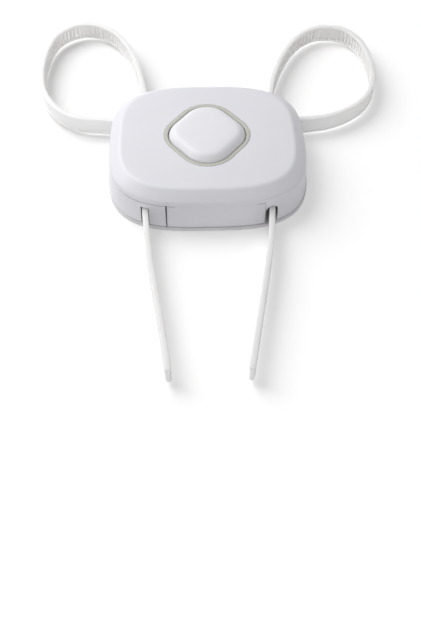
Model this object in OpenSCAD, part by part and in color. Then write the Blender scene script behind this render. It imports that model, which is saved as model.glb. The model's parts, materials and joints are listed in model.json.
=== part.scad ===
// Cabinet safety lock: two plastic halves that latch together, a strap loop on each half for a
// door knob, a centre button that opens nothing, and two hidden panels that open the latch.
// It lies on its back, the loops towards +Y and the face up. Millimetres.

/* [Body] */
// Width across both halves, at the rim under the bevel
body_w = 76; // [75:1:90]
// Length from the loop side to the tail side, at the rim
body_h = 67.4; // [58:0.2:80]
// Height of the flat face above the back
body_t = 16.5; // [16.5:0.1:17.5]
// Squareness of the outline, as the power of its curve
corner_power = 3.15; // [3:0.05:3.5]
// Sideways run of the bevel round the face
bevel_run = 4.8; // [4.2:0.1:5]
// Drop of the bevel round the face
bevel_drop = 3.7; // [3.4:0.1:3.9]
// How far the back edge stands out beyond the rim
flare = 1.2; // [0.9:0.1:1.3]
// Inset of the foot of the walls from the back edge
foot_inset = 0.2; // [0.1:0.1:0.4]
// Wall thickness
wall = 1.4; // [1.2:0.1:1.5]
// Thickness of the two rear plates
plate_t = 1.4; // [1.3:0.1:1.5]
// Seam between the rear plates and the walls
plate_seam = 0.3; // [0.2:0.1:0.4]
// Width of the half that pulls out
latch_w = 22; // [21.5:0.5:22.5]
// Height of the seam over the half that pulls out
seam_z = 11.3; // [11.2:0.1:11.4]
// Gap of that seam, and of every part that slides
slide_gap = 0.3; // [0.2:0.05:0.3]
// Slit between the two halves
split_gap = 0.8; // [0.6:0.1:0.9]

/* [Button] */
// Distances from the middle of the rounded diamond to its corners' centres, across and along
diamond_across = 5; // [4.8:0.1:5.4]
diamond_along = 6.3; // [5.6:0.1:6.4]
// Distance of that middle from the body's, towards the loops
button_y = 0.4; // [0:0.1:0.6]
// Corner radius of the trim ring outside
ring_r = 11.7; // [11.5:0.1:12]
// Width of the trim ring band
ring_band = 1.5; // [1.2:0.1:1.6]
// Height of the trim ring above the face
ring_proud = 0.1; // [0:0.05:0.3]
// Gap between the ring and the button
button_gap = 0.4; // [0.3:0.1:0.6]
// Run and drop of the bevel round the button
button_bevel = 2.4; // [2:0.1:2.6]
// Height of the button above the face
button_proud = 2.4; // [2.3:0.1:2.7]
// Travel of the button
button_travel = 2.2; // [1.8:0.1:2.2]
// Thickness of the flange that holds the button in
flange_t = 1; // [0.8:0.1:1]
// Width of that flange beyond the button
flange_w = 2.5; // [2.2:0.1:2.8]

/* [Straps] */
// Width of a strap, as it stands on edge
strap_w = 7.2; // [7:0.1:7.3]
// Thickness of a strap
strap_t = 2.2; // [2:0.1:2.2]
// Height of the two rails along a strap's edges
rail_h = 1.2; // [1:0.1:1.4]
// Depth of the ladder between the teeth
tooth_depth = 0.9; // [0.8:0.05:1]
// Spacing of the teeth
tooth_pitch = 2; // [2:0.1:2.4]
// Width of a tooth
tooth_w = 0.8; // [0.6:0.05:0.8]
// Distance of the left strap from the left edge of the body
strap_in_left = 14.3; // [14.1:0.1:14.5]
// Distance of the right strap from the right edge of the body
strap_in_right = 14.7; // [14.5:0.1:14.9]
// Reach of the left loop beyond the left edge
loop_w_left = 32.2; // [28:0.2:36]
// Reach of the left loop beyond the body's top edge
loop_h_left = 53.4; // [48:0.2:60]
// Reach of the right loop beyond the right edge
loop_w_right = 35.1; // [30:0.2:38]
// Reach of the right loop beyond the body's top edge
loop_h_right = 48.5; // [44:0.2:54]
// Length of the tails below the body
tail_l = 69; // [60:1:90]
// Radius of the round head at a strap's fixed end
head_r = 2; // [1.8:0.1:2.1]
// Width of the slot that the left tail leaves by
slot_left_w = 3; // [2.8:0.1:3.4]
// Width of the slot that the right tail leaves by
slot_right_w = 4.7; // [4.2:0.1:4.8]
// Height of the top of the strap slots
slot_top = 9.2; // [9.1:0.1:9.3]

/* [Latch] */
// Length of the tongue beyond the split
tongue_l = 27.4; // [26.5:0.1:27.8]
// Room beside the tongue, out to the body's outline, for a release panel and its guides
panel_room = 16.7; // [16.7:0.1:18]
// Step from the top of the latch half down to the tongue
tongue_step = 1; // [0.9:0.1:1.1]
// Wall thickness of the tongue
tongue_wall = 1.4; // [1.2:0.1:1.4]
// Thickness of the spring clip
clip_t = 1.2; // [1:0.1:1.3]
// Height of the spring clip
clip_h = 5.2; // [4.8:0.1:5.4]
// Length of a barb along the tongue
barb_l = 4; // [3.6:0.1:4.2]
// Distance of the barbs' locking edge from the split
barb_x = 10.2; // [10:0.1:10.6]
// Travel of the release panels
panel_travel = 1.7; // [1.5:0.1:1.7]

/* [Inner frame] */
// Thickness of the rails beside the tongue
rail_t = 1.8; // [1.6:0.1:2]
// Thickness of the roof over the tongue
roof_t = 0.8; // [0.7:0.1:0.9]
// Side gap between the tongue and the rails
tongue_gap = 0.4; // [0.3:0.05:0.45]

/* [Pawls and screws] */
// Distance of a pawl's pivot from the strap's toothed face
pivot_off = 3.2; // [3.1:0.1:3.4]
// Place of the pivots along the body
pivot_y = 2.1; // [1.5:0.1:2.5]
// Distance from a pivot to the tip of its nose along the strap
nose_reach = 10.1; // [9.8:0.1:10.4]
// Radius of a pivot pin
pin_r = 1; // [0.8:0.05:1]
// Running clearance of a pin, on the radius
pin_clear = 0.05; // [0.03:0.01:0.08]
// Radius of a screw's shank
screw_r = 1.1; // [0.9:0.05:1.1]
// Radius of a screw's head
screw_head_r = 2; // [1.8:0.1:2.1]
// Radius of a screw boss
boss_r = 2.1; // [1.9:0.1:2.1]

/* [Hidden] */

// Overrun of every cut, and how far a cut goes to clear the back edge, thickness of the slices that
// the button is drawn over, and how far a boss or a rib is rooted in the wall that carries it
over = 1;
clear = 3;
slice_t = 0.01;
root_in = 0.6;
// Points round the outline, round a diamond corner, and the smoothness of round holes
outline_n = 96;
corner_n = 10;
$fn = 40;

hw = body_w / 2;
hh = body_h / 2;
split_x = latch_w - hw;
latch_edge = split_x - split_gap / 2;
housing_edge = split_x + split_gap / 2;
bevel_z = body_t - bevel_drop;
ceiling_z = body_t - wall;
cavity_inset = wall;
wall_z = plate_t + plate_seam;
// Rows of the rounded bevel, as shares of its run and of its drop
crown_shares = [[0, 0], [0.05, 0.12], [0.2, 0.3], [0.7, 0.8], [0.86, 0.94], [1.05, 1]];

ring_in_r = ring_r - ring_band;
button_r = ring_in_r - button_gap;
plateau_r = button_r - button_bevel;
ring_ledge = 0.7;
ring_seat_t = wall - ring_ledge;
ring_fit = 0.05;
flange_gap = 0.2;
flange_top = ceiling_z - flange_gap;
flange_z = flange_top - flange_t;
button_top = body_t + button_proud;
// Rounding of the button's upper edge, as shares of its bevel
button_round_shares = [0.12, 0.2];
cap_wall = 1.2;
cap_top_t = 1.4;
stem_stop = 0.1;
stem_r = 1.6;
stem_gap = 0.2;
collar_wall = 1.1;
collar_h = 2.6;
coil_clear = 1;
button_turns = 5;

tongue_top = seam_z - tongue_step;
tongue_tip = split_x + tongue_l;
tongue_y = hh - panel_room;
floor_t = 1;
floor_z = wall_z + floor_t;
floor_gap = 0.1;
floor_lap = 3.36;
deck_t = 1.2;
roof_z = tongue_top + slide_gap;
roof_top = roof_z + roof_t;
rail_y = tongue_y + tongue_gap;
rail_out = rail_y + rail_t;
tip_gap = 1.2;
frame_end = tongue_tip + tip_gap;
frame_wall = 1.2;
clip_z = (floor_z + tongue_top - deck_t - clip_h) / 2;
clip_gap = 0.2;
clip_y = tongue_y - tongue_wall - clip_gap;
clip_end = tongue_tip - tongue_wall;
barb_edge = split_x + barb_x;
plunger_gap = 0.2;
// How far a barb stands out beyond the tongue: a pressed panel brings it inside the rails
barb_out = panel_travel + tongue_gap - plunger_gap;
barb_tip = 1.2;
window_gap = 0.4;
// The slot along the tongue: its ends as shares of the length, its sides as shares of half the width
tongue_slot_shares = [0.12, 0.86, 0.22, 0.27];
// The sides of the notch at the tongue's tip, as shares of half its width
tongue_notch_shares = [-0.2, 0.08];

panel_left = housing_edge;
panel_gap = 0.2;
panel_right = hw - strap_in_right - slot_right_w / 2 - panel_gap;
panel_top = seam_z;
shelf_t = 1;
lip_inset = cavity_inset + slide_gap;
lip_t = 1;
lip_h = 1;
plunger_w = barb_l - 2 * plunger_gap;
plunger_h = 3.2;
plunger_tip = tongue_y + barb_out + plunger_gap;
fin_t = 1.2;
fin_h = 7;
fin_gap = 0.2;
fin_clear = 0.6;
fin_root = 0.2;
post_root = 0.3;
// Places of the two guide fins, in from the left end of a panel and from the end of the frame
fin_in = 2.5;
fin_x = [panel_left + fin_in, frame_end + frame_wall - fin_in];
fin_l = hh - cavity_inset - rail_out - panel_travel - fin_clear;
fork_t = 1;
fork_clear = 1.3;
// Inner edge of a panel's shelf when the panel is pressed
shelf_y = hh - lip_inset - lip_t - panel_travel;
fork_l = shelf_y - fork_clear - rail_out;
post_r = 1.8;
post_l = 3;
// Place of a panel's return spring, to the left of its right-hand fin
spring_in = 5.3;
spring_x = fin_x[1] - spring_in;
coil_r = 2.7;
coil_wire = 0.5;
coil_slack = 0.1;
panel_turns = 7;

strap_lift = 0.2;
strap_z = plate_t + strap_lift;
strap_x_left = strap_in_left - hw;
strap_x_right = hw - strap_in_right;
head_gap = 0.25;
head_wall = 1.2;
anchor_in = 6.9;
// Places of the two heads along the body, as shares of half its length
anchor_shares = [0.546, 0.522];
anchor_left = [anchor_in - hw, hh * anchor_shares[0]];
anchor_right = [hw - anchor_in, hh * anchor_shares[1]];
slot_clear = 0.7;
slot_half = strap_t / 2 + slot_clear;
strap_gap = 0.35;

// Routes of the straps, from the tip of the tail to the head, as shares of the sizes they follow:
// the tail from its tip up, the run through the body, and the loop
tail_left_shares = [[0.126, 1], [0.109, 0.856], [0.083, 0.678], [0.056, 0.49], [0.027, 0.292]];
tail_right_shares = [[0.168, 1], [0.137, 0.835], [0.104, 0.663], [0.063, 0.443], [0.027, 0.24]];
run_shares = [-1, -0.72, -0.48];
bend_shares = [0.33, 0.25];
bend_back = 1.5;
loop_left_shares = [[-0.425, -0.2], [-0.39, 0.04], [-0.32, 0.3], [-0.21, 0.565], [-0.02, 0.81],
    [0.225, 0.955], [0.48, 1], [0.72, 0.945], [0.91, 0.79], [1, 0.475], [0.96, 0.17],
    [0.826, -0.032], [0.64, -0.161], [0.416, -0.234], [0.161, -0.255]];
loop_right_shares = [[-0.365, -0.29], [-0.31, -0.015], [-0.232, 0.28], [-0.08, 0.595],
    [0.115, 0.84], [0.345, 0.98], [0.58, 1], [0.78, 0.94], [0.937, 0.755], [1, 0.465],
    [0.966, 0.182], [0.823, -0.04], [0.604, -0.186], [0.359, -0.273], [0.157, -0.302]];
// Where each strap crosses the top wall, between the first two points of its loop, as a share
way_in_shares = [0.51, 0.62];
way_in_left = -hw - loop_w_left * (loop_left_shares[0][0] * (1 - way_in_shares[0])
    + loop_left_shares[1][0] * way_in_shares[0]);
way_in_right = hw + loop_w_right * (loop_right_shares[0][0] * (1 - way_in_shares[1])
    + loop_right_shares[1][0] * way_in_shares[1]);
route_n = 8;
strap_step = 2.5;
slope_step = 0.2;
tip_l = 1.6;
// Places of the points that round the tip of a tail, as shares of its length
tip_shares = [0.033, 0.133, 0.3, 0.533, 0.833];
tooth_over = 0.1;
// Where the teeth begin and end along a strap, as shares of its length
teeth_shares = [0.09, 0.84];
// Number of the route's point at a pawl's nose
nose_point = 8;

nose_y = pivot_y - nose_reach;
pawl_z = 3.3;
pawl_h = 3.8;
pawl_r = 2.4;
nose_in = 0.5;
nose_w = 0.44;
arm_w = 1.6;
tab_in = 3.3;
tab_w = 2;
tab_l = 3;
tab_z = 0.3;
tab_edge = 0.1;
tab_trim = 0.3;
nose_slope_share = 1.3;
window_w = 5.5;
window_l = 4.7;
window_end = 1.8;
pin_sink = 0.6;
pin_z = plate_t - pin_sink;
pin_top = 10;
pin_boss_h = 1.5;
leaf_t = 0.3;
leaf_h = 3;
leaf_out = 4.8;
leaf_drop = 3.5;
leaf_top = 0.5;
leaf_gap = 0.1;
leaf_end = 0.4;

screw_in = 8;
screw_in_low = 8.5;
screw_mid_in = 6.6;
screw_mid_y = (rail_out + shelf_y) / 2;
// Places of the outer screws along the body, as shares of half its length
screw_shares = [[0.7, -0.65], [0.69, -0.64]];
screw_left = [[screw_in - hw, hh * screw_shares[0][0]], [screw_in_low - hw, hh * screw_shares[0][1]]];
screw_right = [for (k = screw_shares[1]) [hw - screw_in, hh * k]];
screw_mid = [for (s = [1, -1]) [housing_edge + screw_mid_in, s * screw_mid_y]];
screw_tip = 8.5;
screw_head_h = 1;
head_edge = 0.3;
head_sink = 0.1;
head_clear = 0.1;
pad_h = 0.6;
pilot_clear = 0.05;
cross_w = 0.5;
cross_l = 2.2;
cross_h = 0.5;
ear_t = 1;
core_hole_r = 1.1;
core_hole_pitch = 3.85;
core_hole_share = 0.35;
rail_inset = 0.6;
// The stiffening ribs stand beside the button's flange
flange_x = diamond_across + button_r + flange_w;
rib_gap = 1.5;
rib_pitch = 7;
rib_share = 0.6;
way_in_slot_share = 0.75;

// Outline of the body at the rim, drawn in by an inset
module oval(inset) {
    polygon(oval_points(inset));
}

// Rounded diamond of the button, with corners of radius r
module diamond(r) {
    lean = atan2(diamond_across, diamond_along);
    polygon([for (q = [0:3]) for (i = [0:corner_n])
        let (half = q % 2 == 0 ? lean : 90 - lean, t = 90 * q + half * (2 * i / corner_n - 1))
        [diamond_across * cos(90 * q), diamond_along * sin(90 * q)] + r * [cos(t), sin(t)]]);
}

module block(lo, hi) {
    translate(lo) cube(hi - lo);
}

// Points of the outline, drawn in by an inset
function oval_points(inset) = let (a = hw - inset, b = hh - inset, k = 2 / corner_power)
    [for (i = [0:outline_n - 1]) let (t = 360 * i / outline_n, c = cos(t), s = sin(t))
        [a * sign(c) * pow(abs(c), k), b * sign(s) * pow(abs(s), k)]];

// Closed shell through rows of a height and an inset each, from the bottom up
module loft(rows) {
    n = outline_n;
    last = (len(rows) - 1) * n;
    points = [for (r = rows) for (p = oval_points(r[1])) [p[0], p[1], r[0]]];
    sides = [for (j = [0:len(rows) - 2]) for (i = [0:n - 1])
        let (a = j * n + i, b = j * n + (i + 1) % n) each [[a, a + n, b], [b, a + n, b + n]]];
    polyhedron(points, concat(sides, [[for (i = [0:n - 1]) i]], [[for (i = [n - 1:-1:0]) last + i]]));
}

// Outer form of the body above the rear plates
module outer_form() {
    loft(concat([[0, foot_inset - flare]],
        [for (s = crown_shares) [bevel_z + s[1] * bevel_drop, s[0] * bevel_run]]));
}

// Hollow inside the walls and under the face
module cavity() {
    loft([[-over, cavity_inset], [bevel_z - slide_gap, cavity_inset], [ceiling_z, bevel_run]]);
}

// Room that bosses and ribs may fill: the hollow and a little of the walls that carry them
module rooted() {
    intersection() {
        loft([[-over, cavity_inset - root_in], [bevel_z - slide_gap, cavity_inset - root_in],
            [ceiling_z + root_in / 2, bevel_run - root_in / 4]]);
        union() children();
    }
}

// A slot through a wall for a strap, open downwards, with a rounded top when round is set
module strap_slot(x0, x1, y0, y1, round) {
    r = (x1 - x0) / 2;
    z1 = round ? slot_top - r : slot_top;
    block([x0, y0, 0], [x1, y1, z1]);
    if (round) translate([(x0 + x1) / 2, y0, z1]) rotate([-90, 0, 0]) cylinder(h = y1 - y0, r = r);
}

// Screw boss, pivot boss and anchor pocket of one half, hanging from z1
module bosses(z1, screws, pivot, anchor) {
    for (p = screws) translate([p[0], p[1], plate_t + pad_h])
        cylinder(h = z1 - plate_t - pad_h, r = boss_r);
    translate([pivot[0], pivot[1], pawl_z + pawl_h + slide_gap])
        cylinder(h = z1 - pawl_z - pawl_h - slide_gap, r = pawl_r);
    translate([anchor[0], anchor[1], wall_z]) cylinder(h = z1 - wall_z, r = head_r + head_gap + head_wall);
}

module boss_cuts(z1, screws, pivot, anchor, side) {
    for (p = screws) translate([p[0], p[1], 0])
        cylinder(h = screw_tip + over, r = screw_r + pilot_clear);
    translate([pivot[0], pivot[1], 0]) cylinder(h = pin_top + pin_clear, r = pin_r + pin_clear);
    // Pocket of the strap's head, and the last stretch of the strap from its loop into the head
    shares = side < 0 ? loop_left_shares : loop_right_shares;
    end = shares[len(shares) - 1];
    rise = hh + end[1] * (side < 0 ? loop_h_left : loop_h_right) - anchor[1];
    run = hw + end[0] * (side < 0 ? loop_w_left : loop_w_right) - abs(anchor[0]);
    translate([anchor[0], anchor[1], 0]) mirror([side < 0 ? 1 : 0, 0, 0]) rotate([0, 0, atan2(rise, run)]) {
        cylinder(h = slot_top, r = head_r + head_gap);
        block([0, -strap_t / 2 - strap_gap, 0], [2 * anchor_in, strap_t / 2 + strap_gap, slot_top]);
    }
}

pivot_left = [strap_x_left - strap_t / 2 - pivot_off, pivot_y];
pivot_right = [strap_x_right + strap_t / 2 + pivot_off, pivot_y];

module front_cover() {
    color("#e6e6ee") difference() {
        union() {
            difference() {
                outer_form();
                cavity();
                block([-hw - clear, -hh - clear, 0], [panel_right + panel_gap, hh + clear, seam_z + slide_gap]);
                block([-hw - clear, -hh - clear, 0], [hw + clear, hh + clear, wall_z]);
            }
            rooted() {
                bosses(body_t, screw_right, pivot_right, anchor_right);
                for (p = screw_mid) translate([p[0], p[1], plate_t + ear_t])
                    cylinder(h = ceiling_z - plate_t, r = boss_r);
                // Stiffening ribs over the latch half
                for (x = [-flange_x - rib_gap, -flange_x - rib_gap - rib_pitch])
                    block([x - wall / 2, -hh * rib_share, seam_z + slide_gap],
                        [x + wall / 2, hh * rib_share, body_t]);
            }
        }
        boss_cuts(ceiling_z, screw_right, pivot_right, anchor_right, 1);
        for (p = screw_mid) translate([p[0], p[1], 0])
            cylinder(h = screw_tip + over, r = screw_r + pilot_clear);
        // Stepped seat of the trim ring
        translate([0, button_y, ceiling_z - over]) linear_extrude(body_t)
            diamond(ring_r - ring_ledge + ring_fit);
        translate([0, button_y, ceiling_z + ring_seat_t]) linear_extrude(body_t) diamond(ring_r + ring_fit);
        // Slots for the strap: the tail below, the way in above
        strap_slot(strap_x_right - slot_right_w / 2, strap_x_right + slot_right_w / 2,
            -hh - clear, -hh / 2, true);
        strap_slot(way_in_right - slot_half, way_in_right + slot_half,
            hh * way_in_slot_share, hh + clear, false);
    }
}

// Rear plate on one side of the split
module rear_plate(x0, x1) {
    linear_extrude(plate_t) intersection() {
        oval(-flare);
        translate([x0, -hh - clear]) square([x1 - x0, body_h + 2 * clear]);
    }
}

module rear_fixings(screws, pivot) {
    // Pads under the bosses, clear of the wall
    intersection() {
        for (p = screws) translate([p[0], p[1], plate_t / 2])
            cylinder(h = plate_t / 2 + pad_h, r = boss_r - slide_gap);
        linear_extrude(body_t) oval(cavity_inset + slide_gap);
    }
    translate([pivot[0], pivot[1], plate_t]) cylinder(h = pin_boss_h, r = pawl_r);
}

module screw_cut(p) {
    translate([p[0], p[1], 0]) rotate_extrude() polygon([[0, -over], [screw_head_r + head_clear, -over],
        [screw_head_r + head_clear, head_sink + head_edge], [screw_r + head_clear, head_sink + screw_head_h],
        [screw_r + head_clear, plate_t + over + pad_h], [0, plate_t + over + pad_h]]);
}

module rear_cuts(screws, pivot, side) {
    for (p = screws) screw_cut(p);
    translate([pivot[0], pivot[1], pin_z - pin_clear])
        cylinder(h = plate_t + pin_boss_h, r = pin_r + pin_clear);
    // Window for the pawl's finger tab
    wx = pivot[0] + side * (tab_in - tab_w - slide_gap);
    block([min(wx, wx + side * window_w), pivot[1] - nose_reach - window_end, -over],
        [max(wx, wx + side * window_w), pivot[1] - nose_reach - window_end + window_l, plate_t + over]);
}

module rear_cover() {
    color("#e3e3eb") difference() {
        union() {
            rear_plate(split_x + plate_seam / 2, hw + clear);
            rear_fixings(screw_right, pivot_right);
        }
        rear_cuts(screw_right, pivot_right, 1);
        for (p = screw_mid) screw_cut(p);
    }
}

// Tunnel for the tongue, with the catch windows, the button tray and the guides of the panels
module inner_frame() {
    rail_left = housing_edge + rail_inset;
    color("#d8dad8") difference() {
        union() {
            block([rail_left, -rail_out, roof_z], [frame_end + frame_wall, rail_out, roof_top]);
            block([frame_end, -rail_out, plate_t], [frame_end + frame_wall, rail_out, roof_top]);
            for (s = [-1, 1]) {
                block([rail_left, min(s * rail_y, s * rail_out), plate_t],
                    [frame_end + frame_wall, max(s * rail_y, s * rail_out), roof_top]);
                // Forks that the guide fins slide in
                for (x = fin_x) for (k = [-1, 1]) {
                    fx = x + k * (fin_t + fork_t + 2 * fin_gap) / 2;
                    block([fx - fork_t / 2, s > 0 ? rail_y : -rail_out - fork_l, plate_t],
                        [fx + fork_t / 2, s > 0 ? rail_out + fork_l : -rail_y, roof_z]);
                }
                // Spring post
                translate([spring_x, s * rail_y, (plate_t + roof_top) / 2])
                    rotate([-90 * s, 0, 0]) cylinder(h = rail_t + post_l, r = post_r);
                // Ear under the cover's boss
                ear = screw_mid[0];
                block([ear[0] - boss_r, s > 0 ? rail_y : -ear[1] - boss_r, plate_t],
                    [ear[0] + boss_r, s > 0 ? ear[1] + boss_r : -rail_y, plate_t + ear_t]);
            }
            translate([0, button_y, roof_z])
                cylinder(h = roof_t + collar_h, r = stem_r + stem_gap + collar_wall);
        }
        translate([0, button_y, roof_z - over]) cylinder(h = body_t, r = stem_r + stem_gap);
        // Windows that the barbs catch in
        block([barb_edge - window_gap, -rail_out - over, clip_z - window_gap],
            [barb_edge + barb_l + window_gap, rail_out + over, clip_z + clip_h + window_gap]);
        for (p = screw_mid) translate([p[0], p[1], 0])
            cylinder(h = plate_t + ear_t + over, r = screw_r + head_clear);
    }
}

module button_ring() {
    color("#c6c6bc") translate([0, button_y, 0]) difference() {
        union() {
            translate([0, 0, ceiling_z + ring_seat_t + ring_fit])
                linear_extrude(ring_ledge + ring_proud - ring_fit) diamond(ring_r);
            translate([0, 0, ceiling_z]) linear_extrude(wall + ring_proud) diamond(ring_r - ring_ledge);
        }
        translate([0, 0, ceiling_z - over]) linear_extrude(body_t) diamond(ring_in_r);
    }
}

module diamond_slice(z, r) {
    translate([0, 0, z - slice_t]) linear_extrude(slice_t) diamond(r);
}

module decoy_button() {
    color("#f4f4f8") translate([0, button_y, 0]) {
        difference() {
            union() {
                hull() {
                    diamond_slice(flange_z + slice_t, button_r);
                    diamond_slice(button_top - button_bevel, button_r);
                    diamond_slice(button_top - button_bevel * button_round_shares[0],
                        plateau_r + button_bevel * button_round_shares[1]);
                    diamond_slice(button_top, plateau_r - button_bevel * button_round_shares[1]);
                }
                translate([0, 0, flange_z]) linear_extrude(flange_t) diamond(button_r + flange_w);
            }
            translate([0, 0, flange_z - over])
                linear_extrude(button_top - button_bevel - flange_z + over) diamond(button_r - cap_wall);
            translate([0, 0, flange_z]) linear_extrude(button_top - cap_top_t - flange_z)
                diamond(plateau_r - cap_wall);
        }
        translate([0, 0, roof_z + button_travel + stem_stop])
            cylinder(h = button_top - cap_top_t - roof_z - button_travel, r = stem_r);
    }
}

// A coil spring that stands on the origin, wound along +Z
module coil(r, wire, length, turns) {
    ring_n = 16;
    side_n = 6;
    count = turns * ring_n;
    rise = (length - wire) / count;
    pitch_angle = atan2(rise * ring_n, 2 * PI * r);
    points = [for (i = [0:count]) let (a = 360 * i / ring_n,
            n = [cos(a), sin(a), 0],
            b = [sin(a) * sin(pitch_angle), -cos(a) * sin(pitch_angle), cos(pitch_angle)],
            c = r * n + [0, 0, wire / 2 + i * rise])
        for (k = [0:side_n - 1]) let (t = 360 * k / side_n) c + wire / 2 * (cos(t) * n + sin(t) * b)];
    walls = [for (i = [0:count - 1]) for (k = [0:side_n - 1])
        let (p = i * side_n + k, q = i * side_n + (k + 1) % side_n)
        each [[p, q, q + side_n], [p, q + side_n, p + side_n]]];
    caps = [for (k = [1:side_n - 2]) each [[0, k + 1, k],
        [count * side_n, count * side_n + k, count * side_n + k + 1]]];
    polyhedron(points, concat(walls, caps));
}

module button_spring() {
    color("silver") translate([0, button_y, roof_top])
        coil(stem_r + stem_gap + collar_wall + coil_clear, coil_wire, button_top - cap_top_t - roof_top,
            button_turns);
}

// Panel in the wall that is pressed to free the latch, drawn for the loop side
module release_panel() {
    inner = hh - cavity_inset;
    color("#e4e4ec") {
        intersection() {
            difference() {
                outer_form();
                intersection() {
                    cavity();
                    block([-hw, -hh, 0], [hw, hh, panel_top - shelf_t]);
                }
                translate([0, 0, plate_t]) linear_extrude(body_t) oval(lip_inset + lip_t);
            }
            block([panel_left, 0, wall_z], [panel_right, hh + clear, panel_top]);
        }
        intersection() {
            translate([0, 0, panel_top - shelf_t]) linear_extrude(shelf_t + lip_h) difference() {
                oval(lip_inset);
                oval(lip_inset + lip_t);
            }
            block([panel_left + 2 * wall, 0, 0], [panel_right - 2 * wall, hh, body_t]);
        }
        for (fx = fin_x) {
            block([fx - fin_t / 2, inner - fin_l, wall_z + slide_gap],
                [fx + fin_t / 2, inner - wall, wall_z + slide_gap + fin_h]);
            block([fx - fin_t / 2, inner - wall, wall_z + slide_gap],
                [fx + fin_t / 2, inner + fin_root, wall_z + slide_gap + fin_h]);
        }
        // Plunger that pushes the barb in
        block([barb_edge + plunger_gap, plunger_tip, clip_z + (clip_h - plunger_h) / 2],
            [barb_edge + plunger_gap + plunger_w, inner + post_root, clip_z + (clip_h + plunger_h) / 2]);
        translate([spring_x, inner + post_root, (plate_t + roof_top) / 2])
            rotate([90, 0, 0]) cylinder(h = post_l, r = post_r);
    }
}

module release_panel_top() {
    release_panel();
}

module release_panel_bottom() {
    mirror([0, 1, 0]) release_panel();
}

module release_spring() {
    color("silver") translate([spring_x, rail_out, (plate_t + roof_top) / 2]) rotate([-90, 0, 0])
        coil(coil_r, coil_wire, hh - cavity_inset - rail_out - coil_slack, panel_turns);
}

module release_spring_top() {
    release_spring();
}

module release_spring_bottom() {
    mirror([0, 1, 0]) release_spring();
}

module screw(p) {
    color("#b9bcc0") translate([p[0], p[1], 0]) difference() {
        rotate_extrude() polygon([[0, head_sink], [screw_head_r, head_sink],
            [screw_head_r, head_sink + head_edge], [screw_r, head_sink + screw_head_h],
            [screw_r, screw_tip - screw_r], [screw_r / 2, screw_tip], [0, screw_tip]]);
        for (a = [0, 90]) rotate([0, 0, a])
            block([-cross_l / 2, -cross_w / 2, 0], [cross_l / 2, cross_w / 2, head_sink + cross_h]);
    }
}

module housing_screws() {
    for (p = concat(screw_right, screw_mid)) screw(p);
}

module latch_screws() {
    for (p = screw_left) screw(p);
}

// A point on a smooth curve between b and c
function curve(a, b, c, d, t) = (2 * b + (c - a) * t + (2 * a - 5 * b + 4 * c - d) * t * t
    + (3 * b - a - 3 * c + d) * t * t * t) / 2;
function smooth(p) = [for (i = [0:len(p) - 2]) for (j = [0:route_n - 1])
    curve(p[max(i - 1, 0)], p[i], p[i + 1], p[min(i + 2, len(p) - 1)], j / route_n), p[len(p) - 1]];
function running(p) = [for (i = 0, s = 0; i < len(p);
    s = s + (i + 1 < len(p) ? norm(p[i + 1] - p[i]) : 0), i = i + 1) s];
function table(p, s, k) = [for (i = [0:len(p) - 1]) [s[i], p[i][k]]];

// The point beside a route at length s, off to its left by d
function beside(tx, ty, s, d) = let (e = slope_step, ux = lookup(s + e, tx) - lookup(s - e, tx),
    uy = lookup(s + e, ty) - lookup(s - e, ty), u = norm([ux, uy]))
    [lookup(s, tx) - d * uy / u, lookup(s, ty) + d * ux / u];

// Half thickness of a strap at length s, rounded at the tip
function half_t(s) = strap_t / 2 * (s < tip_l ? sqrt(1 - pow(1 - s / tip_l, 2)) : 1);

// A moulded strap along a route, its teeth on the left side where side is 1 and on the right at -1
module strap(route, nose_i, side) {
    pts = smooth(route);
    run = running(pts);
    total = run[len(run) - 1];
    tx = table(pts, run, 0);
    ty = table(pts, run, 1);
    nose_s = run[nose_i * route_n];
    stops = concat([for (k = tip_shares) tip_l * k],
        [for (s = [tip_l:strap_step:total - strap_step / 2]) s], [total]);
    first = ceil((total * teeth_shares[0] - nose_s) / tooth_pitch);
    last = floor((total * teeth_shares[1] - nose_s) / tooth_pitch);
    top = strap_t / 2 + tooth_over;
    root = strap_t / 2 - tooth_depth;
    color("#fbfbf7") {
        difference() {
            translate([0, 0, strap_z]) linear_extrude(strap_w) polygon(concat(
                [for (s = stops) beside(tx, ty, s, half_t(s))],
                [for (i = [len(stops) - 1:-1:0]) beside(tx, ty, stops[i], -half_t(stops[i]))]));
            translate([0, 0, strap_z + rail_h]) linear_extrude(strap_w - 2 * rail_h) polygon(concat(
                [for (k = [first:last - 1]) let (a = nose_s + (k + 0.5) * tooth_pitch + tooth_w / 2,
                    b = a + tooth_pitch - tooth_w) each [beside(tx, ty, a, side * top),
                    beside(tx, ty, a, side * root), beside(tx, ty, b, side * root),
                    beside(tx, ty, b, side * top)]],
                [for (k = [last:-1:first])
                    beside(tx, ty, nose_s + (k + 0.5) * tooth_pitch, side * (top + over))]));
        }
        translate([pts[len(pts) - 1][0], pts[len(pts) - 1][1], strap_z]) cylinder(h = strap_w, r = head_r);
    }
}

module strap_left() {
    strap(concat([for (p = tail_left_shares) [strap_x_left + p[0] * tail_l, -hh - p[1] * tail_l]],
        [for (y = run_shares) [strap_x_left, y * hh]],
        [[strap_x_left, nose_y], [strap_x_left, pivot_y], [strap_x_left - strap_t / 12, hh * bend_shares[0]]],
        [for (p = loop_left_shares) [-hw - p[0] * loop_w_left, hh + p[1] * loop_h_left]],
        [anchor_left]), nose_point, 1);
}

module strap_right() {
    strap(concat([for (p = tail_right_shares) [strap_x_right - p[0] * tail_l, -hh - p[1] * tail_l]],
        [for (y = run_shares) [strap_x_right, y * hh]],
        [[strap_x_right, nose_y], [strap_x_right, pivot_y - bend_back],
            [strap_x_right + strap_t / 4, hh * bend_shares[1]]],
        [for (p = loop_right_shares) [hw + p[0] * loop_w_right, hh + p[1] * loop_h_right]],
        [anchor_right]), nose_point, -1);
}

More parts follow.
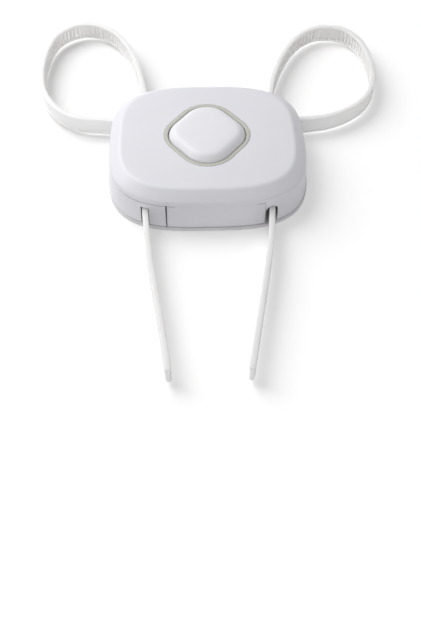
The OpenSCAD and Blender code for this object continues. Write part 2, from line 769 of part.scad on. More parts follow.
// Pawl with its pivot at the origin, its nose towards the strap on the +X side
module pawl() {
    tip = pivot_off + nose_in;
    color("#e4e3dd") difference() {
        union() {
            translate([0, 0, pawl_z]) {
                cylinder(h = pawl_h, r = pawl_r);
                linear_extrude(pawl_h) polygon([[-arm_w, 0], [-arm_w, -nose_reach / 2],
                    [-tab_in, -nose_reach + arm_w], [-tab_in, -nose_reach - tab_l / 2 + tab_trim],
                    [-tab_in / 4, -nose_reach - tab_l / 2 + tab_trim],
                    [arm_w, -nose_reach - nose_w * nose_slope_share],
                    [tip, -nose_reach - nose_w / 2], [tip, -nose_reach + nose_w / 2],
                    [arm_w, -nose_reach + nose_w * nose_slope_share], [arm_w, 0]]);
            }
            block([tab_edge - tab_in, tab_edge - nose_reach - tab_l / 2 + tab_trim, tab_z],
                [tab_w - tab_in, -nose_reach + tab_l / 2, pawl_z + pawl_h / 2]);
        }
        translate([0, 0, pawl_z - over]) cylinder(h = pawl_h + 2 * over, r = pin_r + pin_clear);
    }
}

module pin(p) {
    color("silver") translate([p[0], p[1], pin_z]) cylinder(h = pin_top - pin_z, r = pin_r);
}

// Bent leaf spring that holds a pawl against the strap, drawn beside a pivot at the origin
module leaf() {
    a = [-pawl_r - leaf_out, -leaf_top];
    b = a - [0, leaf_drop];
    c = [-arm_w - leaf_t - leaf_gap, leaf_end - nose_reach / 2];
    color("silver") translate([0, 0, pawl_z + (pawl_h - leaf_h) / 2]) linear_extrude(leaf_h)
        polygon([a, b, c, c + [leaf_t, 0], c + [leaf_t, -leaf_t], b + [0, -2 * leaf_t],
            b + [-leaf_t, -leaf_t], a + [-leaf_t, 0]]);
}

module pawl_left() {
    translate([pivot_left[0], pivot_left[1], 0]) pawl();
}

module pawl_right() {
    translate([pivot_right[0], pivot_right[1], 0]) mirror([1, 0, 0]) pawl();
}

module pawl_pin_left() {
    pin(pivot_left);
}

module pawl_pin_right() {
    pin(pivot_right);
}

module pawl_spring_left() {
    translate([pivot_left[0], pivot_left[1], 0]) leaf();
}

module pawl_spring_right() {
    translate([pivot_right[0], pivot_right[1], 0]) mirror([1, 0, 0]) leaf();
}

// Half that pulls out: curved block with the tongue
module latch_body() {
    color("#e6e6ee") difference() {
        union() {
            difference() {
                intersection() {
                    outer_form();
                    block([-hw - clear, -hh - clear, wall_z], [latch_edge, hh + clear, seam_z]);
                }
                intersection() {
                    cavity();
                    block([-hw, -hh, 0], [latch_edge - wall, hh, seam_z - deck_t]);
                }
            }
            rooted() bosses(seam_z - deck_t / 2, screw_left, pivot_left, anchor_left);
            // Tongue: deck, sides and tip
            block([latch_edge - wall, -tongue_y, tongue_top - deck_t], [tongue_tip, tongue_y, tongue_top]);
            block([clip_end, -tongue_y, floor_z + floor_gap], [tongue_tip, tongue_y, tongue_top]);
            for (y = [-tongue_y, tongue_y - tongue_wall])
                block([latch_edge - wall, y, floor_z + floor_gap], [tongue_tip, y + tongue_wall, tongue_top]);
        }
        boss_cuts(seam_z, screw_left, pivot_left, anchor_left, -1);
        // Way through under the wall for the floor of the tongue
        block([latch_edge - 2 * wall, -tongue_y, 0], [latch_edge + over, tongue_y, floor_z + floor_gap]);
        // Windows for the barbs
        block([barb_edge - window_gap, -tongue_y - over, clip_z - window_gap],
            [barb_edge + barb_l + window_gap, tongue_y + over, clip_z + clip_h + window_gap]);
        // Slot along the tongue and notch at its tip
        k = tongue_slot_shares;
        block([split_x + tongue_l * k[0], tongue_y * k[2], tongue_top - deck_t - over],
            [split_x + tongue_l * k[1], tongue_y * k[3], tongue_top + over]);
        block([tongue_tip - 2 * tongue_wall, tongue_y * tongue_notch_shares[0], tongue_top - deck_t - over],
            [tongue_tip + over, tongue_y * tongue_notch_shares[1], tongue_top + over]);
        // Core holes in the deck
        for (x = [anchor_left[0], anchor_left[0] + core_hole_pitch])
            translate([x, hh * core_hole_share, seam_z - deck_t - over])
            cylinder(h = deck_t + 2 * over, r = core_hole_r);
        slot_x = strap_x_left - slot_half;
        strap_slot(slot_x, slot_x + slot_left_w, -hh - clear, -hh / 2, false);
        strap_slot(way_in_left - slot_half, way_in_left + slot_half,
            hh * way_in_slot_share, hh + clear, false);
    }
}

// Rear plate of the half that pulls out, with the floor of the tongue
module latch_cover() {
    root = latch_edge - floor_lap;
    color("#e3e3eb") difference() {
        union() {
            rear_plate(-hw - clear, split_x - plate_seam / 2);
            rear_fixings(screw_left, pivot_left);
            block([root, -tongue_y, plate_t], [latch_edge, tongue_y, wall_z]);
            block([root, -tongue_y, wall_z], [tongue_tip, tongue_y, floor_z]);
        }
        rear_cuts(screw_left, pivot_left, -1);
    }
}

// One-piece spring clip: two arms joined at the tip of the tongue, each with a barb
module latch_clip() {
    arm_end = barb_edge - 2 * clip_t;
    half = [[arm_end, clip_y - clip_t], [arm_end, clip_y], [barb_edge, clip_y],
        [barb_edge, tongue_y + barb_out], [barb_edge + barb_tip, tongue_y + barb_out],
        [barb_edge + barb_l, clip_y], [clip_end, clip_y]];
    color("#edeae0") translate([0, 0, clip_z]) linear_extrude(clip_h) polygon(concat(half,
        [for (i = [len(half) - 1:-1:0]) [half[i][0], -half[i][1]]],
        [[clip_end - clip_t, clip_t - clip_y], [clip_end - clip_t, clip_y - clip_t]]));
}

front_cover();
rear_cover();
inner_frame();
button_ring();
decoy_button();
button_spring();
release_panel_top();
release_panel_bottom();
release_spring_top();
release_spring_bottom();
housing_screws();
strap_right();
pawl_right();
pawl_pin_right();
pawl_spring_right();
latch_body();
latch_cover();
latch_clip();
latch_screws();
strap_left();
pawl_left();
pawl_pin_left();
pawl_spring_left();
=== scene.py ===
# %% [markdown]
# # A cabinet safety lock on a white table
#
# The lock is two moulded plastic halves. One holds a button that opens nothing, the other pulls out
# sideways once two hidden panels are squeezed. Each half carries a toothed strap whose loop goes
# round a door knob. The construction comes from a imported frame, and this script dresses it: it
# models the mouldings again with soft edges, gives every piece its finish, and sets up the picture.

# %% Load the frame
import bisect
import json
import math

import bpy
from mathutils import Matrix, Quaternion, Vector


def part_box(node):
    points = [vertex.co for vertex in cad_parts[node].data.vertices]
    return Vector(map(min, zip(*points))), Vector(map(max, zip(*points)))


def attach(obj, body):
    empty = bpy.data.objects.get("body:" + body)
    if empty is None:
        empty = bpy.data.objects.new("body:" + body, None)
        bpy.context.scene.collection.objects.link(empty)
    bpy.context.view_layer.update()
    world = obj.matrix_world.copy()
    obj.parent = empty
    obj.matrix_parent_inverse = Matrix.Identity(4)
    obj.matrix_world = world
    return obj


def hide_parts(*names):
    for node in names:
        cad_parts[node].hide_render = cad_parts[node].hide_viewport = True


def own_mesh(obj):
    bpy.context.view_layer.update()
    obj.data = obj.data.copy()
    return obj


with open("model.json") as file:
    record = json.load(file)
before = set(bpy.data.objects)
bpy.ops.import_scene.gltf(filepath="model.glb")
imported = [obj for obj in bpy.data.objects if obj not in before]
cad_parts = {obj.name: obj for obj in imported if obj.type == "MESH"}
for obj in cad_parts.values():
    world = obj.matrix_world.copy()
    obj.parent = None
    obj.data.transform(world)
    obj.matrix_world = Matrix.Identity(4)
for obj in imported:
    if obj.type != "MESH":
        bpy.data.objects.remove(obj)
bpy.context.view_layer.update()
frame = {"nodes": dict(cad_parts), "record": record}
MM = 0.001


def limits(node):
    """Lowest and highest corner of a frame node, in millimetres."""
    lo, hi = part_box(node)
    return Vector(lo) / MM, Vector(hi) / MM


body_of = {n: body for body, names in frame["record"]["behaviour"]["bodies"].items() for n in names}
slot_of = {part["node"]: part["material_slot"] for part in frame["record"]["subparts"]}
flare = 1.2
half_w, half_h = limits("rear_cover")[1].x - flare, limits("rear_cover")[1].y - flare
wall_z, face_z = limits("front_cover")[0].z, limits("front_cover")[1].z
panel_lo, panel_hi = limits("release_panel_top")
seam_z, tongue_tip = limits("latch_body")[1].z, limits("latch_body")[1].x
print("body", round(2 * half_w, 2), "x", round(2 * half_h, 2), "x", round(face_z, 2), "mm")

# %% [markdown]
# ## Camera
#
# The photograph was taken from above the front edge with a short telephoto lens. The camera could be
# moved by eye until the picture fits. Here its elevation, turn, distance and lens were fitted to the
# lock's outline, and the lock sits high in a tall frame, so the camera first looks at the button and
# then tips down by the angle between that pixel and the middle of the picture.

# %% Camera
photo_w, photo_h = 421, 631
focal_px = 798.9
aim, aim_px = Vector((0, 0, 8)), (207.2, 151.7)
view_elevation, view_turn, view_distance = math.radians(41.66), math.radians(-1.45), 321.9
sensor = 36

towards = Vector((math.sin(view_turn) * math.cos(view_elevation),
                  -math.cos(view_turn) * math.cos(view_elevation), math.sin(view_elevation)))
tip = math.atan((photo_h / 2 - aim_px[1]) / focal_px)
swing = math.atan((aim_px[0] - photo_w / 2) / focal_px)
camera = bpy.data.objects.new("camera", bpy.data.cameras.new("camera"))
bpy.context.scene.collection.objects.link(camera)
bpy.context.scene.camera = camera
camera.data.sensor_width = sensor
camera.data.lens = focal_px / photo_h * sensor
camera.data.clip_start, camera.data.clip_end = 0.01, 10
camera.location = (aim + towards * view_distance) * MM
camera.rotation_mode = "QUATERNION"
camera.rotation_quaternion = ((-towards).to_track_quat("-Z", "Y")
                              @ Quaternion((1, 0, 0), -tip) @ Quaternion((0, 1, 0), swing))
print("camera at", [round(v / MM) for v in camera.location], "lens", round(camera.data.lens, 1))

# %% [markdown]
# ## Finishes
#
# Nearly all that shows is moulded plastic, and plastics differ in small ways: how blue or warm the
# white is, how wide the gloss spreads, and the grain that the mould leaves. Each finish below starts
# from the name of the plastic, its usual refractive index, and the size of its grain.

# %% Material helpers
def linear(code):
    """A colour written as sRGB hex, as the linear values that a shader takes."""
    parts = [int(code[i:i + 2], 16) / 255 for i in (1, 3, 5)]
    return [p / 12.92 if p <= 0.04045 else ((p + 0.055) / 1.055) ** 2.4 for p in parts] + [1]


def add(tree, kind, inputs=None, **settings):
    """Adds a node, sets its options, and fills its sockets with values or with other nodes' outputs."""
    made = tree.nodes.new(kind)
    for key, value in settings.items():
        setattr(made, key, value)
    for key, value in (inputs or {}).items():
        if isinstance(value, bpy.types.NodeSocket):
            tree.links.new(value, made.inputs[key])
        else:
            made.inputs[key].default_value = value
    return made


def new_material(name):
    """An empty node tree with its output, and the position on the piece."""
    material = bpy.data.materials.new(name)
    material.use_nodes = True
    tree = material.node_tree
    tree.nodes.clear()
    where = add(tree, "ShaderNodeTexCoord").outputs["Object"]
    return material, tree, add(tree, "ShaderNodeOutputMaterial"), where


def moulded(name, light, dark, roughness, ior, grain, relief, stretch=(1, 1, 1), glow=0):
    """Moulded plastic: a mould's grain of that size in mm, and a slow drift between two close colours.
    With glow, that share of the light goes in and spreads under the surface."""
    material, tree, out, where = new_material(name)
    along = add(tree, "ShaderNodeMapping", {"Vector": where, "Scale": stretch}).outputs["Vector"]
    drift = add(tree, "ShaderNodeTexNoise", {"Vector": along, "Scale": 1 / (14 * MM), "Detail": 2})
    tint = add(tree, "ShaderNodeMix", {"Factor": drift.outputs["Fac"], "A": linear(light), "B": linear(dark)},
               data_type="RGBA")
    fine = add(tree, "ShaderNodeTexNoise", {"Vector": along, "Scale": 1 / (grain * MM), "Detail": 3})
    gloss = add(tree, "ShaderNodeMapRange", {"Value": fine.outputs["Fac"], "To Min": roughness - 0.05,
                                             "To Max": roughness + 0.05})
    bump = add(tree, "ShaderNodeBump", {"Height": fine.outputs["Fac"], "Strength": 1,
                                        "Distance": relief * MM})
    shader = add(tree, "ShaderNodeBsdfPrincipled", {
        "Base Color": tint.outputs["Result"], "Roughness": gloss.outputs["Result"], "IOR": ior,
        "Normal": bump.outputs["Normal"]})
    if glow:
        shader.inputs["Subsurface Weight"].default_value = glow
        shader.inputs["Subsurface Radius"].default_value = (1, 0.95, 0.92)
        shader.inputs["Subsurface Scale"].default_value = 5 * MM
    tree.links.new(shader.outputs["BSDF"], out.inputs["Surface"])
    return material


def metal(name, colour, roughness, scratch, stretch):
    """Bright steel with fine drawing marks of that spacing in mm along one direction."""
    material, tree, out, where = new_material(name)
    along = add(tree, "ShaderNodeMapping", {"Vector": where, "Scale": stretch}).outputs["Vector"]
    marks = add(tree, "ShaderNodeTexNoise", {"Vector": along, "Scale": 1 / (scratch * MM), "Detail": 3})
    gloss = add(tree, "ShaderNodeMapRange", {"Value": marks.outputs["Fac"], "To Min": roughness - 0.08,
                                             "To Max": roughness + 0.08})
    bump = add(tree, "ShaderNodeBump", {"Height": marks.outputs["Fac"], "Strength": 1,
                                        "Distance": 0.01 * MM})
    shader = add(tree, "ShaderNodeBsdfPrincipled", {
        "Base Color": linear(colour), "Metallic": 1, "Roughness": gloss.outputs["Result"],
        "Normal": bump.outputs["Normal"]})
    tree.links.new(shader.outputs["BSDF"], out.inputs["Surface"])
    return material


# %% Materials
# ABS off a lightly spark-eroded mould: cool white, satin, no sharp reflections. The grain of the real
# mould is about 0.1 mm, drawn here at 0.35 mm so that it still shows.
satin_abs = moulded("satin_abs_cool_white", "#EAEAF0", "#E5E5EB", 0.42, 1.54, 0.35, 0.006)
# The same ABS off a plainer mould: the back shows no gloss to speak of.
matt_abs = moulded("matt_abs_cool_white", "#E6E5E8", "#E0DFE2", 0.6, 1.54, 0.5, 0.01)
# ABS with a grey-green masterbatch, matt, for the trim ring.
trim_abs = moulded("matt_abs_grey_green", "#C9C9BF", "#C3C3B9", 0.5, 1.54, 0.3, 0.006)
# The same satin ABS in a brighter white than the housing, so that the button stands out.
button_abs = moulded("satin_abs_bright_white", "#F1F1F5", "#EDEDF2", 0.48, 1.54, 0.4, 0.004)
# Natural ABS inside the housing, with the faint flow lines of a part that nobody sees.
inner_abs = moulded("natural_abs", "#DAD9D3", "#D0CFC8", 0.5, 1.54, 0.8, 0.01, (1, 0.3, 1))
# Polypropylene: warmer, waxy, a little light passes through its edges.
polypropylene = moulded("polypropylene_warm_white", "#FDFBF9", "#FAF8F6", 0.4, 1.49, 0.5, 0.004, glow=0.75)
# Acetal: dense and creamy, with a slippery sheen.
acetal = moulded("natural_acetal", "#EDEAE0", "#E6E3D8", 0.34, 1.48, 0.5, 0.004)
# The same acetal, a little greyer from handling with greasy fingers.
pawl_acetal = moulded("handled_acetal", "#E4E3DD", "#DAD9D2", 0.36, 1.48, 0.5, 0.006)
spring_steel = metal("drawn_spring_steel", "#C9CACC", 0.28, 0.2, (1, 1, 0.2))
zinc_steel = metal("zinc_plated_steel", "#BFC2C6", 0.36, 0.3, (1, 1, 1))
finish_of = {"cover_white": satin_abs, "plate_white": matt_abs, "frame_white": inner_abs,
             "ring_grey": trim_abs, "button_white": button_abs, "strap_white": polypropylene,
             "clip_acetal": acetal, "pawl_acetal": pawl_acetal, "spring_steel": spring_steel,
             "screw_steel": zinc_steel}
print(len(bpy.data.materials), "materials")

# %% [markdown]
# ## Table, background and lamps
#
# The picture is a cut-out: the table is pure white, and only soft shadows remain of it. A brighter lamp
# would whiten the table but burn out the lock, so the lamps stay at a plain level, and the floor gets a
# little light of its own that only the camera and reflections see. The lamp is near, as the falling
# tone across the face shows, so a plain lift would leave the far corners grey. The lift here grows by
# just what the lamp loses with distance. The big soft lamp hangs at the upper left, a little behind the
# lock, a white world fills the shadows, and a weak low lamp in front lights the front walls.

# %% Lamps
sky_level, paint_tone = 0.34, 0.96
key_at, key_size, key_power = Vector((-250, 185, 345)), 400, 1.74
fill_at, fill_size, fill_power = Vector((60, -620, 160)), 420, 0.55


def softbox(name, at, size, power):
    """A square lamp that faces the origin, placed and sized in millimetres."""
    lamp = bpy.data.objects.new(name, bpy.data.lights.new(name, "AREA"))
    bpy.context.scene.collection.objects.link(lamp)
    lamp.data.shape = "SQUARE"
    lamp.data.size = size * MM
    lamp.data.energy = power
    lamp.location = at * MM
    lamp.rotation_mode = "QUATERNION"
    lamp.rotation_quaternion = (-at).to_track_quat("-Z", "Y")


softbox("key_softbox", key_at, key_size, key_power)
softbox("fill_softbox", fill_at, fill_size, fill_power)
bpy.context.scene.view_settings.view_transform = "Standard"


def seen_by(tree, *kinds):
    """A socket that is 1 for these kinds of ray and 0 for all others."""
    path = add(tree, "ShaderNodeLightPath")
    seen = path.outputs[kinds[0]]
    for kind in kinds[1:]:
        seen = add(tree, "ShaderNodeMath", {0: seen, 1: path.outputs[kind]}, operation="MAXIMUM").outputs[0]
    return seen


world = bpy.data.worlds.new("studio")
bpy.context.scene.world = world
world.use_nodes = True
tree = world.node_tree
tree.nodes.clear()
seen = seen_by(tree, "Is Camera Ray", "Is Glossy Ray", "Is Transmission Ray")
level = add(tree, "ShaderNodeMapRange", {"Value": seen, "To Min": sky_level, "To Max": 1})
sky = add(tree, "ShaderNodeBackground", {"Color": (1, 1, 1, 1), "Strength": level.outputs["Result"]})
tree.links.new(sky.outputs[0], add(tree, "ShaderNodeOutputWorld").inputs["Surface"])

# %% Table
open_floor = 0.98
key_m = key_at * MM
spread = (key_size * MM) ** 2 / math.pi
key_reach = key_m.length ** 2 + spread
key_on_floor = paint_tone * key_power * key_m.z / (math.pi ** 2 * key_m.length * key_reach)
own_light = open_floor - paint_tone * sky_level
print("the lamp gives the floor", round(key_on_floor, 2),
      "and it gives itself", round(own_light - key_on_floor, 2))

table, tree, out, _ = new_material("white_table")
place = add(tree, "ShaderNodeNewGeometry")
reach = add(tree, "ShaderNodeVectorMath", {0: key_m, 1: place.outputs["Position"]}, operation="SUBTRACT")
facing = add(tree, "ShaderNodeVectorMath", {0: reach.outputs["Vector"], 1: key_m.normalized()},
             operation="DOT_PRODUCT")
square = add(tree, "ShaderNodeVectorMath", {0: reach.outputs["Vector"], 1: reach.outputs["Vector"]},
             operation="DOT_PRODUCT")
wide = add(tree, "ShaderNodeMath", {0: square.outputs["Value"], 1: spread}, operation="ADD")
fourth = add(tree, "ShaderNodeMath", {0: wide.outputs[0], 1: 2}, operation="POWER")
share = add(tree, "ShaderNodeMath", {0: facing.outputs["Value"], 1: fourth.outputs[0]}, operation="DIVIDE")
lift = add(tree, "ShaderNodeMath", {0: share.outputs[0], 1: -key_on_floor * key_reach ** 2 / key_m.length,
                                    2: own_light}, operation="MULTIPLY_ADD")
seen = seen_by(tree, "Is Camera Ray", "Is Glossy Ray")
strength = add(tree, "ShaderNodeMath", {0: seen, 1: lift.outputs[0]}, operation="MULTIPLY")
paint = add(tree, "ShaderNodeBsdfDiffuse", {"Color": (paint_tone, paint_tone, paint_tone, 1)})
shine = add(tree, "ShaderNodeEmission", {"Strength": strength.outputs[0]})
both = add(tree, "ShaderNodeAddShader", {0: paint.outputs[0], 1: shine.outputs[0]})
clear = add(tree, "ShaderNodeBsdfTransparent")
mixed = add(tree, "ShaderNodeMixShader", {0: place.outputs["Backfacing"], 1: both.outputs[0],
                                          2: clear.outputs[0]})
tree.links.new(mixed.outputs[0], out.inputs["Surface"])

bpy.ops.object.select_all(action="DESELECT")
bpy.ops.mesh.primitive_plane_add(size=4, location=(0, 0, -0.00002))
floor = bpy.context.object
floor.name = "table"
floor.data.materials.append(table)

# %% [markdown]
# ## Tools for modelling
#
# The pieces are modelled in millimetres, which keeps the numbers plain, and brought down to metres
# when they are done. A mould shapes a part in one go; here a part starts as a disc or a block, is
# extruded row by row, and other blocks are cut from it or joined to it with Boolean modifiers.

# %% Modelling helpers
def only(*objects):
    """Selects these objects alone, and makes the first one active."""
    if bpy.context.object and bpy.context.object.mode != "OBJECT":
        bpy.ops.object.mode_set(mode="OBJECT")
    bpy.ops.object.select_all(action="DESELECT")
    for item in objects:
        item.select_set(True)
    bpy.context.view_layer.objects.active = objects[0] if objects else None


def settle():
    """Writes the selected pieces' place, turn and size into their meshes."""
    bpy.ops.object.transform_apply(location=True, rotation=True, scale=True)


def on_all(operator, **settings):
    """Runs one edit-mode operator on everything in the active piece."""
    bpy.ops.object.mode_set(mode="EDIT")
    bpy.ops.mesh.select_all(action="SELECT")
    operator(**settings)
    bpy.ops.object.mode_set(mode="OBJECT")


def face_outwards():
    """Turns the faces of the active piece outwards."""
    on_all(bpy.ops.mesh.normals_make_consistent, inside=False)


def apply(piece, kind, **settings):
    """Adds a modifier with these settings and applies it."""
    only(piece)
    modifier = piece.modifiers.new(kind.lower(), kind)
    for key, value in settings.items():
        setattr(modifier, key, value)
    bpy.ops.object.modifier_apply(modifier=modifier.name)


def carve(piece, cutter, operation="DIFFERENCE"):
    """Cuts one solid from another, joins it on, or keeps what both share."""
    apply(piece, "BOOLEAN", operation=operation, solver="MANIFOLD", object=cutter)
    bpy.data.objects.remove(cutter)


def block(lo, hi):
    """A box between two corners."""
    only()
    lo, hi = Vector(lo), Vector(hi)
    bpy.ops.mesh.primitive_cube_add(size=1, location=(lo + hi) / 2, scale=hi - lo)
    return bpy.context.object


def rod(x, y, z0, z1, r, turn=(0, 0, 0), sides=48):
    """A round rod between two heights. Turned, it lies along Y: y is its height, z0 and z1 its ends."""
    only()
    middle = (x, y, (z0 + z1) / 2) if turn == (0, 0, 0) else (x, (z0 + z1) / 2, y)
    bpy.ops.mesh.primitive_cylinder_add(vertices=sides, radius=r, depth=z1 - z0, location=middle,
                                        rotation=turn)
    return bpy.context.object


def choose_faces(piece, wanted):
    """Selects the faces whose middle makes wanted(middle, normal) true, and stays in edit mode."""
    bpy.ops.object.mode_set(mode="EDIT")
    bpy.ops.mesh.select_mode(type="FACE")
    bpy.ops.mesh.select_all(action="DESELECT")
    bpy.ops.object.mode_set(mode="OBJECT")
    for face in piece.data.polygons:
        face.select = wanted(face.center, face.normal)
    bpy.ops.object.mode_set(mode="EDIT")


def choose_edges(piece, wanted):
    """Selects the edges whose two ends make wanted(a, b) true, and stays in edit mode."""
    bpy.ops.object.mode_set(mode="EDIT")
    bpy.ops.mesh.select_mode(type="EDGE")
    bpy.ops.mesh.select_all(action="DESELECT")
    bpy.ops.object.mode_set(mode="OBJECT")
    points = piece.data.vertices
    for edge in piece.data.edges:
        edge.select = wanted(points[edge.vertices[0]].co, points[edge.vertices[1]].co)
    bpy.ops.object.mode_set(mode="EDIT")


def rise(name, rows, place, points=192, ring=False):
    """Extrudes a disc once for each row, then puts every point where place(angle, row) says.
    With ring, the last row lies on the first, both discs go, and the band closes on itself."""
    only()
    bpy.ops.mesh.primitive_circle_add(vertices=points, radius=1, fill_type="NGON")
    piece = bpy.context.object
    piece.name = name
    bpy.ops.object.mode_set(mode="EDIT")
    bpy.ops.mesh.select_all(action="SELECT")
    for _ in rows[1:]:
        bpy.ops.mesh.extrude_region_move(TRANSFORM_OT_translate={"value": (0, 0, 1)})
    face_outwards()
    if ring:
        choose_faces(piece, lambda middle, normal: abs(normal.z) > 0.9)
        bpy.ops.mesh.delete(type="FACE")
        bpy.ops.object.mode_set(mode="OBJECT")
    for v in piece.data.vertices:
        v.co = place(math.atan2(v.co.y, v.co.x), rows[round(v.co.z)])
    if ring:
        on_all(bpy.ops.mesh.remove_doubles, threshold=0.0001)
    return piece


def rounded(corners, steps=6):
    """Points along straight lines, with each corner of (a, b, reach) rounded over its reach."""
    points = []
    for i, (a, b, reach) in enumerate(corners):
        here = Vector((a, b))
        if not reach:
            points.append(here)
            continue
        start = here + (Vector(corners[i - 1][:2]) - here).normalized() * reach
        end = here + (Vector(corners[(i + 1) % len(corners)][:2]) - here).normalized() * reach
        for j in range(steps + 1):
            t = j / steps
            points.append(start * (1 - t) ** 2 + here * 2 * t * (1 - t) + end * t ** 2)
    return points


def ease_edges(piece, width, inside, angle=35, segments=2):
    """Rounds the sharp edges whose two ends lie where inside(point) is true."""
    only(piece)
    settle()
    bpy.ops.object.mode_set(mode="EDIT")
    bpy.ops.mesh.select_mode(type="EDGE")
    bpy.ops.mesh.select_all(action="DESELECT")
    bpy.ops.mesh.edges_select_sharp(sharpness=math.radians(angle))
    bpy.ops.object.mode_set(mode="OBJECT")
    points = piece.data.vertices
    for edge in piece.data.edges:
        if edge.select and not all(inside(points[v].co) for v in edge.vertices):
            edge.select = False
    bpy.ops.object.mode_set(mode="EDIT")
    bpy.ops.mesh.bevel(offset=width, segments=segments, affect="EDGES", clamp_overlap=True)
    bpy.ops.object.mode_set(mode="OBJECT")


def done(piece, name, node, smooth=30):
    """Brings a piece down to metres, smooths it, and gives it its node's finish, body and place."""
    piece.name = name
    only(piece)
    settle()
    # A bevel that runs out of room leaves faces of no area, which are merged away.
    on_all(bpy.ops.mesh.dissolve_degenerate, threshold=0.001)
    piece.scale = (MM, MM, MM)
    settle()
    bpy.ops.object.shade_smooth_by_angle(angle=math.radians(smooth))
    piece.data.materials.clear()
    piece.data.materials.append(finish_of[slot_of[node]])
    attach(piece, body_of[node])
    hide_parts(node)
    lo, hi = limits(node)
    points = [v.co / MM for v in piece.data.vertices]
    grown = [round(f(p[k] for p in points) - end[k], 2)
             for f, end in ((min, lo), (max, hi)) for k in range(3)]
    print(name, len(piece.data.polygons), "faces, against its node", grown)
    return piece


# %% [markdown]
# ## The body's outline
#
# Seen from above the body is between an ellipse and a rectangle. A rounded rectangle would show where
# its arcs end, so the outline is a circle whose sine and cosine are raised to a power, which squares it
# off evenly. Every wall, bevel and hollow is this outline again, drawn in by an inset, or let out by a
# negative one: the walls lean, and stand wider at the back than under the bevel.

# %% Outline and profile of the body
corner_power = 3.15
foot_inset, rim_inset, bevel_z = 0.2 - flare, 0, 13.17
bevel_inset, face_inset = 4.32, 6
wall, over = 1.4, 1
hollow_inset = rim_inset + wall
bevel_reach, face_reach, far = 0.77, 0.92, 60


def on_outline(angle, row):
    """A point of the outline at a row of inset and height."""
    k = 2 / corner_power
    c, s = math.cos(angle), math.sin(angle)
    return Vector(((half_w - row[0]) * math.copysign(abs(c) ** k, c),
                   (half_h - row[0]) * math.copysign(abs(s) ** k, s), row[1]))


def wall_inset(z):
    """Inset of the outer wall, which leans in a little, at a height under the bevel."""
    return foot_inset + (rim_inset - foot_inset) * z / bevel_z


def beyond(p, inset):
    """True outside the outline drawn in by that inset."""
    return (abs(p.x) / (half_w - inset)) ** corner_power + (abs(p.y) / (half_h - inset)) ** corner_power > 1


def shell_rows(foot, top, deck=None):
    """Rows of a shell from its inner ceiling down, round its foot and up to its top."""
    if deck:
        inner = [(hollow_inset, top - deck, 0), (hollow_inset, foot, 0)]
        outer = [(wall_inset(top), top, 0.3), (wall_inset(top) + 2, top, 0)]
    else:
        inner = [(face_inset - 1.2, top - wall, 0), (hollow_inset, bevel_z - 0.7, 0), (hollow_inset, foot, 0)]
        outer = [(rim_inset, bevel_z, bevel_reach), (bevel_inset, top, face_reach), (face_inset, top, 0)]
    return rounded(inner + [(wall_inset(foot), foot, 0.12)] + outer)


def root_room(top):
    """The room inside the walls and a little of the walls themselves, for bosses and ribs."""
    inset = hollow_inset - 0.6
    return rise("root", [(inset, 0), (inset, bevel_z - 0.7), (face_inset - 1.35, top + 0.3)], on_outline)


# %% [markdown]
# ## The straps' route
#
# Each strap starts at its tail, runs through the body past the pawl, leaves through the loop-side wall,
# goes round the knob and ends in a head in the side wall. Its route is a short list of places, chosen
# as shares of the loop's size, with a smooth curve through them. The slots in the walls need it too.

# %% Routes
strap_t, strap_w, strap_z = 2.2, 7.2, 1.6
strap_in_left, strap_in_right, tail_l = 14.3, 14.7, 69
anchor_in, pivot_y, nose_reach = 6.9, 2.1, 10.1
tail_left_shares = [(0.126, 1), (0.109, 0.856), (0.083, 0.678), (0.056, 0.49), (0.027, 0.292)]
tail_right_shares = [(0.168, 1), (0.137, 0.835), (0.104, 0.663), (0.063, 0.443), (0.027, 0.24)]
run_shares = [-1, -0.72, -0.48]
loop_left_shares = [
    (-0.425, -0.2), (-0.39, 0.04), (-0.32, 0.3), (-0.21, 0.565), (-0.02, 0.81), (0.225, 0.955),
    (0.48, 1), (0.72, 0.945), (0.91, 0.79), (1, 0.475), (0.96, 0.17), (0.826, -0.032),
    (0.64, -0.161), (0.416, -0.234), (0.161, -0.255)]
loop_right_shares = [
    (-0.365, -0.29), (-0.31, -0.015), (-0.232, 0.28), (-0.08, 0.595), (0.115, 0.84), (0.345, 0.98),
    (0.58, 1), (0.78, 0.94), (0.937, 0.755), (1, 0.465), (0.966, 0.182), (0.823, -0.04),
    (0.604, -0.186), (0.359, -0.273), (0.157, -0.302)]
# Left is -1 and right is 1: each loop's width and height, and its places as shares of them.
loops = {-1: (32.2, 53.4, loop_left_shares), 1: (35.1, 48.5, loop_right_shares)}
strap_x = {-1: strap_in_left - half_w, 1: half_w - strap_in_right}
anchor = {s: Vector((s * (half_w - anchor_in), half_h * share)) for s, share in ((-1, 0.546), (1, 0.522))}
pivot = {s: Vector((strap_x[s] + s * (strap_t / 2 + 3.2), pivot_y)) for s in (-1, 1)}
steps_per_span = 16


def smooth_line(points):
    """A smooth curve through the points, as many short steps."""
    line = []
    for i in range(len(points) - 1):
        a, b, c, d = (points[max(0, min(j, len(points) - 1))] for j in (i - 1, i, i + 1, i + 2))
        for j in range(steps_per_span):
            t = j / steps_per_span
            line.append((2 * b + (c - a) * t + (2 * a - 5 * b + 4 * c - d) * t * t
                         + (3 * b - a - 3 * c + d) * t ** 3) / 2)
    return line + [points[-1]]


def loop_place(side, a, b):
    """A place on a loop, at these shares of its width and height out from the body's corner."""
    width, height, _ = loops[side]
    return side * (half_w + a * width), half_h + b * height


